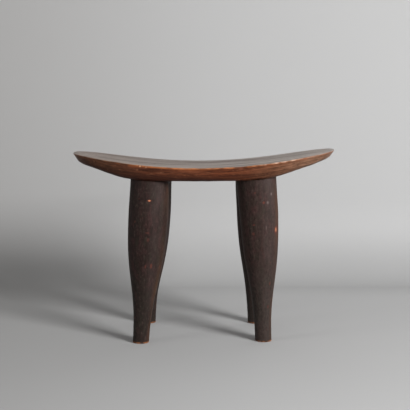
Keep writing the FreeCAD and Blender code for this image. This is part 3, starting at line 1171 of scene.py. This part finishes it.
def leg_finish():
    """Blackened wood with upright streaks, a crust, brown ridges, painted sheen and edge light,
    bare chips and a worn foot.
    """
    wood = Finish("leg_wood_finish")
    ramp, times, coat = wood.ramp, wood.times, wood.coat
    up, bare, exposed, tone, bloom = (
        wood.stored(name) for name in ("up", "bare", "exposed", "tone", "bloom")
    )
    grain = wood.stored("grain", "Vector")
    streaks = wood.noise(grain, (150, 150, 8), 4, 0.55)
    fibres = wood.noise(grain, (700, 700, 30), 3, 0.6)
    clouds = wood.noise(grain, (34, 34, 14), 4, 0.6)
    specks = wood.noise(grain, (420, 420, 190), 2, 0.5)
    mottle = wood.noise(grain, (90, 90, 42), 4, 0.6)
    crust = wood.noise(grain, (260, 260, 150), 4, 0.65)
    foot_breaks = wood.noise(grain, (130, 130, 130), 3, 0.6)

    dark = wood.blend(tone, (0.014, 0.008, 0.0066), (0.0205, 0.0115, 0.0096))
    light = wood.blend(tone, (0.03, 0.0176, 0.0152), (0.05, 0.031, 0.0265))
    wood.colour = wood.blend(ramp(streaks, 0.15, 0.85), dark, light, "upright streaks")
    coat("clouds", (0.04, 0.023, 0.021), clouds, 0.4, 0.75, 0, 0.4)
    coat("brown fibres", (0.055, 0.031, 0.024), fibres, 0.5, 0.78, 0, 0.25)
    coat("red mottle", (0.062, 0.026, 0.025), mottle, 0.5, 0.68, 0, 0.45)
    coat("olive mottle", (0.032, 0.027, 0.019), mottle, 0.5, 0.32, 0, 0.5)
    olive = wood.blend(tone, (0.022, 0.0195, 0.016), (0.04, 0.036, 0.031))
    coat("olive near the floor", olive, up, 0.6, 0.2, 0, 0.42)
    coat("dark crust", (0.012, 0.0075, 0.006), crust, 0.5, 0.66, 0, 0.6)
    coat("pale crust", (0.078, 0.054, 0.047), crust, 0.46, 0.32, 0, 0.4)
    # Painted sheen on the side towards the lamp, and pale scrapes that are partly painted glints.
    coat("painted sheen on the lamp side", (0.092, 0.07, 0.066), times(bloom, ramp(clouds, 0.3, 0.7, 0.25, 0.6)))
    coat("pale scrapes and painted glints", (0.17, 0.132, 0.122), bloom, 0.9, 2)
    # Brown on the knife's ridges is wear; on the right-hand side of each leg it is painted edge
    # light.
    coat("rubbed ridges and painted edge light", (0.09, 0.043, 0.024), times(exposed, ramp(clouds, 0.38, 0.66, 0.1, 0.6)))
    specks_here = times(ramp(specks, 0.64, 0.74), ramp(clouds, 0.5, 0.7), 0.5)
    coat("red specks", (0.11, 0.03, 0.02), specks_here)
    foot = times(ramp(up, 0, 0.008, 1, 0), ramp(foot_breaks, 0.35, 0.55))
    coat("worn foot", (0.27, 0.11, 0.05), foot)
    coat("red wood in chips", (0.1, 0.034, 0.026), bare, 0.08, 0.4, 0, 0.8)
    coat("pale wood in chips", (0.6, 0.23, 0.115), bare, 0.45, 0.9)

    wood.shade(Roughness=ramp(clouds, 0.3, 0.7, 0.55, 0.66), Specular_IOR_Level=0.14)
    wood.bumps((streaks, 0.25), (fibres, 0.1), (clouds, 0.3), (crust, 0.25))
    return wood


leg_finish().give_to(*legs)

# %% [markdown]
# The wedges are split from plain hardwood and never finished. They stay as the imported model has
# them, because their shape is right, and only get their wood.

# %% The wedges' finish


def wedge_finish():
    """Pale split wood."""
    wood = Finish("wedge_wood_finish")
    place = wood.add("TexCoord", {}).outputs["Object"]
    fibres = wood.noise(place, (900, 900, 45), 4, 0.6)
    wood.colour = wood.blend(wood.ramp(fibres, 0.3, 0.7), (0.36, 0.22, 0.12), (0.55, 0.38, 0.22))
    wood.shade(Roughness=wood.ramp(fibres, 0.3, 0.7, 0.6, 0.75))
    wood.bumps((fibres, 0.2))
    return wood


wedge_finish().give_to(*(frame["nodes"]["wedge_" + place] for place in leg_places))

# %% [markdown]
# The stage is a sheet of grey paper that hangs close behind the stool and rolls out under it. Its
# turn is tight: three quarters of a metre behind the stool it is already upright, and catches the
# shadow of the seat. Its colour holds painted shade: it is a little darker to the left, on the
# floor and in its fold. Seen from its back it is clear, so that it doesn't hide the stool in a
# view from behind, and far from the stool it fades into the even sky, so that no view shows where
# it ends.

# %% The stage
floor_level = -0.05 * mm
stage_front, stage_turn, stage_radius, stage_top = -3, 0.53, 0.22, 3.2
stage_half_width = 3
paper_middle = (0, 0.5, 0.5)
paper_fades, paper_gone = 1.35, 2.3
profile = [(stage_front, floor_level)]
for angle in np.linspace(0, math.pi / 2, 25):
    rise = stage_radius * (1 - math.cos(angle))
    profile.append((stage_turn + stage_radius * math.sin(angle), floor_level + rise))
profile.append((stage_turn + stage_radius, stage_top))
paper = [(x, y, z) for y, z in profile for x in (-stage_half_width, stage_half_width)]
strips = [(2 * k, 2 * k + 1, 2 * k + 3, 2 * k + 2) for k in range(len(profile) - 1)]
backdrop = make_piece("backdrop", np.array(paper), strips)


def paper_finish():
    """Matt grey paper with painted shade to the left, on the floor and in its fold, clear from its
    back and far away.
    """
    sheet = Finish("backdrop_paper")
    ramp, times = sheet.ramp, sheet.times
    geometry = sheet.add("NewGeometry", {}).outputs
    place = sheet.add("SeparateXYZ", {"Vector": geometry["Position"]}).outputs
    x, y, z = (place[axis] for axis in "XYZ")
    black, left_grey_with_painted_shade, right_grey = (0, 0, 0), (0.482, 0.477, 0.472), (0.546, 0.546, 0.546)
    # Painted shade: the paper is darker to the left, on the floor and in its fold.
    sheet.colour = sheet.blend(ramp(x, -0.8, 0.15), left_grey_with_painted_shade, right_grey)
    sheet.coat("painted shade on the floor", black, times(ramp(x, -0.5, 0.4, 0.115, 0.03), ramp(z, 0.2, 0)))
    fold = times(ramp(x, -0.3, 0.45, 0.03, 0.145), ramp(z, 0.15, 0.03), ramp(y, 0.37, 0.6))
    sheet.coat("painted shade in the fold", black, fold)
    sheet.shade(Roughness=0.9, Specular_IOR_Level=0.1)
    away = sheet.add("VectorMath", {0: geometry["Position"], 1: paper_middle}, operation="DISTANCE")
    faded = ramp(away.outputs["Value"], paper_fades, paper_gone)
    gone = sheet.calculate("MAXIMUM", geometry["Backfacing"], faded)
    clear = sheet.add("BsdfTransparent", {}).outputs["BSDF"]
    mixed = sheet.add("MixShader", {0: gone, 1: sheet.shader.outputs["BSDF"], 2: clear})
    sheet.put(mixed.outputs["Shader"], sheet.output.inputs["Surface"])
    return sheet


paper_finish().give_to(backdrop)
backdrop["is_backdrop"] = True

# %% [markdown]
# One large soft lamp stands low, to the front and right, which is where the shadows in the
# photograph point back to: it throws the seat's shadow up the paper on the left. A weaker one
# from the left keeps the dark sides readable, and an even sky does the rest. Where that sky is
# seen or mirrored, beyond the paper's edges, it is as pale as the paper. A lamp as small as the
# key would burn out as a white patch where the polished top mirrors it, so mirrored rays pass it
# by, and a wide faint panel beside it gives the sheen.

# %% The lamps
sky_light = 0.205
sky_seen = 0.4
lamp_aim = Vector((0, 0, 0.2))


def add_lamp(name, place, size, power, mirrored=True):
    """A square soft lamp that points at the middle of the stool."""
    lamp = bpy.data.lights.new(name, "AREA")
    lamp.shape, lamp.size, lamp.energy = "SQUARE", size, power
    holder = add_object(name, lamp)
    holder.location = place
    holder.rotation_euler = (lamp_aim - Vector(place)).to_track_quat("-Z", "Y").to_euler()
    holder.visible_glossy = mirrored


add_lamp("key_lamp", (2.0, -2.3, 1.42), size=0.98, power=108, mirrored=False)
add_lamp("sheen_panel", (2.2, -2.5, 1.7), size=2.2, power=12)
add_lamp("fill_lamp", (-2.2, -1.2, 1.0), size=0.6, power=6.5)
world = bpy.data.worlds.new("studio")
studio = Graph(world)
sky = world.node_tree.nodes["Background"]
studio.put((1, 0.99, 0.975, 1), sky.inputs["Color"])
ray = studio.add("LightPath", {}).outputs
looked_at = studio.calculate("MAXIMUM", ray["Is Camera Ray"], ray["Is Glossy Ray"])
looked_at = studio.calculate("MAXIMUM", looked_at, ray["Is Transmission Ray"])
studio.put(studio.ramp(looked_at, 0.0, 1.0, sky_light, sky_seen), sky.inputs["Strength"])
bpy.context.scene.world = world
bpy.context.scene.view_settings.view_transform = "Standard"
print("lamps:", [lamp.name for lamp in bpy.data.lights])

# %% [markdown]
# Last, the box of what is shown now is measured, and how much it has grown past the box of the
# imported model is printed.

# %% Sizes and the end
look_low, look_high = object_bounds()
grown = (look_high - look_low) - (cad_high - cad_low)
print("grown in mm:", [round(size / mm, 2) for size in grown])
